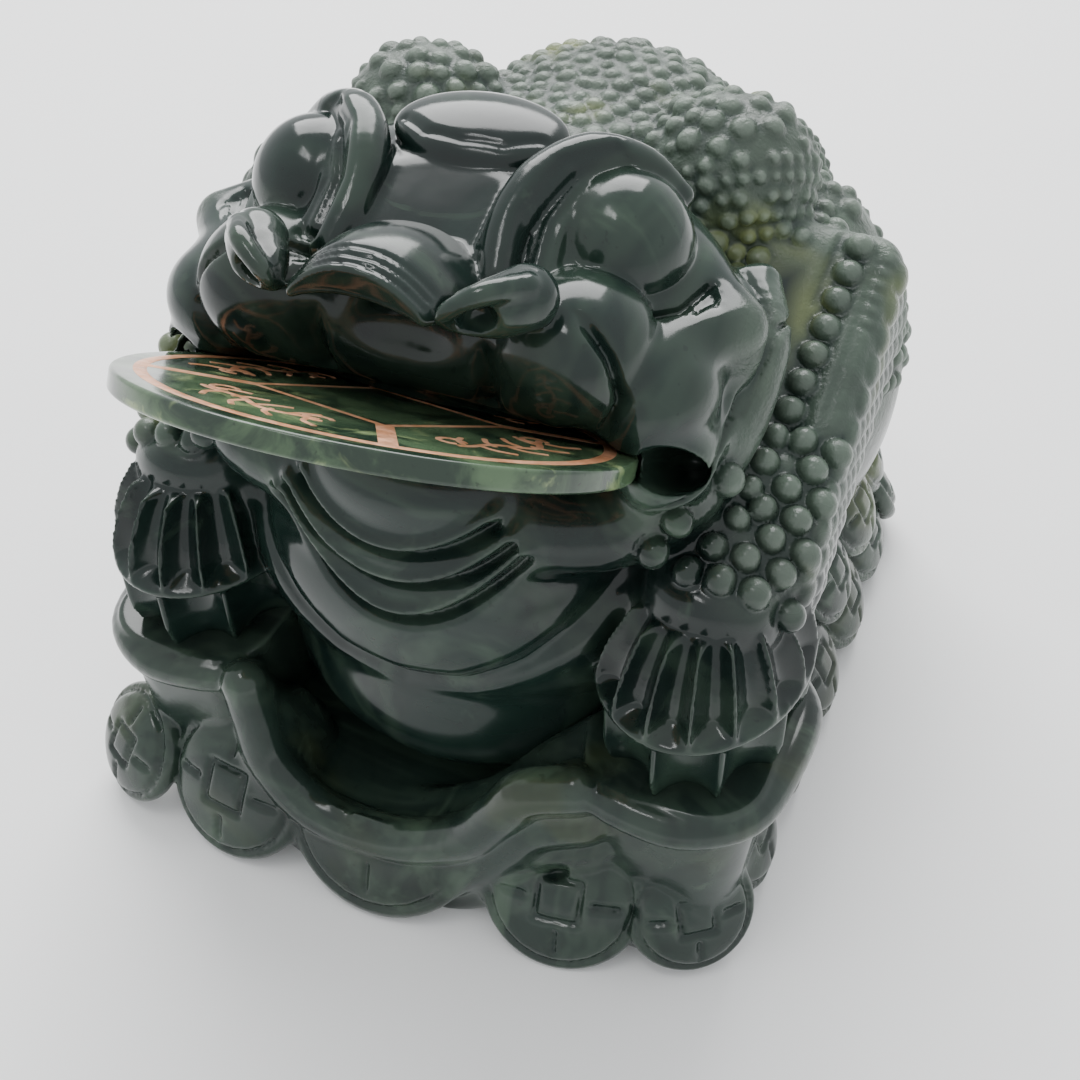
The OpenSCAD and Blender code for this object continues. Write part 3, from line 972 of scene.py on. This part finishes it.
def camera():
    """The photograph's view: 23.5 degrees to the toad's left, looking down 41.75 degrees."""
    yaw, rise, roll = (math.radians(a) for a in (23.53, 41.75, -1.12))
    back = Vector((math.sin(yaw) * math.cos(rise), -math.cos(yaw) * math.cos(rise), math.sin(rise)))
    side = Vector((math.cos(yaw), math.sin(yaw), 0))
    top = side.cross(-back)
    x = side * math.cos(roll) + top * math.sin(roll)
    y = -side * math.sin(roll) + top * math.cos(roll)
    data = bpy.data.cameras.new("camera")
    data.sensor_width = 36
    data.lens = 47.80667
    data.clip_start = 0.01
    cam = bpy.data.objects.new("camera", data)
    at = Vector((0, 0, 0.050)) + back * 0.4167
    cam.matrix_world = Matrix.Translation(at) @ Matrix((x, y, back)).transposed().to_4x4()
    bpy.context.scene.collection.objects.link(cam)
    bpy.context.scene.camera = cam


def area_light(name, at, target, size, power):
    data = bpy.data.lights.new(name, "AREA")
    data.shape = "RECTANGLE"
    data.size, data.size_y = size
    data.energy = power
    lamp = bpy.data.objects.new(name, data)
    lamp.location = at
    lamp.rotation_euler = (Vector(target) - Vector(at)).to_track_quat("-Z", "Y").to_euler()
    bpy.context.scene.collection.objects.link(lamp)


def studio():
    """Even white surroundings, a wide ceiling light, three thin strips over the face, and a pale floor."""
    world = bpy.data.worlds.new("studio")
    bpy.context.scene.world = world
    world.use_nodes = True
    world.node_tree.nodes["Background"].inputs["Color"].default_value = (0.96, 0.98, 1.0, 1)
    world.node_tree.nodes["Background"].inputs["Strength"].default_value = 1.20
    area_light("ceiling", (-0.6, 1.35, 1.6), (0, 0, 0.1), (1.9, 1.4), 74)
    for k in range(3):
        area_light("strip", (-0.16, -0.42 + 0.07 * k, 1.15), (0, -0.05, 0.15), (0.42, 0.016), 0.6)
    mesh = bpy.data.meshes.new("floor")
    r = 3.0
    mesh.from_pydata([(-r, -r, 0), (r, -r, 0), (r, r, 0), (-r, r, 0)], [], [(0, 1, 2, 3)])
    floor = bpy.data.objects.new("floor", mesh)
    bpy.context.scene.collection.objects.link(floor)
    n = Nodes("floor")
    tone = n.mix(n.ramp(n.noise(3, 3), 0.3, 0.7), (0.91, 0.91, 0.905), (0.93, 0.93, 0.925))
    mat = n.finish(tone, n.ramp(n.noise(30, 3), 0.3, 0.7, 0.55, 0.65), ior=1.4)
    mesh.materials.append(mat)


# ---------------------------------------------------------------- assembly

def matt_toad(p):
    """How matt the toad's skin is: the back, the pearled arms and the haunches."""
    back = np.clip((p[:, 1] + 12 - 0.25 * np.abs(p[:, 0])) / 8, 0, 1) * np.clip((p[:, 2] - 60) / 30, 0.35, 1)
    arm = np.clip((np.abs(p[:, 0]) - 66 + 0.12 * (p[:, 2] - 120)) / 5, 0, 1)
    arm = arm * np.clip((p[:, 2] - 104) / 6, 0, 1)
    return np.maximum(back, 0.6 * arm * np.clip((p[:, 1] + 72) / 10, 0, 1))


def matt_plinth(p):
    """The plinth is a little duller towards its back."""
    return 0.12 + 0.25 * np.clip((p[:, 1] - 20) / 60, 0, 1)


camera()
studio()

JADE = ((0.004, 0.009, 0.008), (0.011, 0.024, 0.019), (0.060, 0.096, 0.064), (0.076, 0.107, 0.080))
toad = mesh_piece("carved_toad", build_toad(), matt_toad)
toad.data.materials.append(jade("toad_jade", *JADE, seed=0.0))
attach(toad, "figure")
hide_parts("toad_figure")

plinth = mesh_piece("carved_plinth", build_plinth(), matt_plinth, mirrored=False, flat_base=0.0)
plinth.data.materials.append(jade("plinth_jade", *JADE, seed=3.1, patchy=0.7))
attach(plinth, "figure")
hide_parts("coin_plinth")

paint = gold_paint("gilding")
for piece, node, finish, mat in (
        (coin_disc("carved_coin"), "mouth_coin", "coin_jade", coin_jade("coin_jade")),
        (inlay("painted_lines_top", 1), "coin_gilding_top", "gilding", paint),
        (inlay("painted_lines_bottom", -1), "coin_gilding_bottom", "gilding", paint)):
    piece.data.materials.append(mat)
    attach(piece, "coin")
    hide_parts(node)
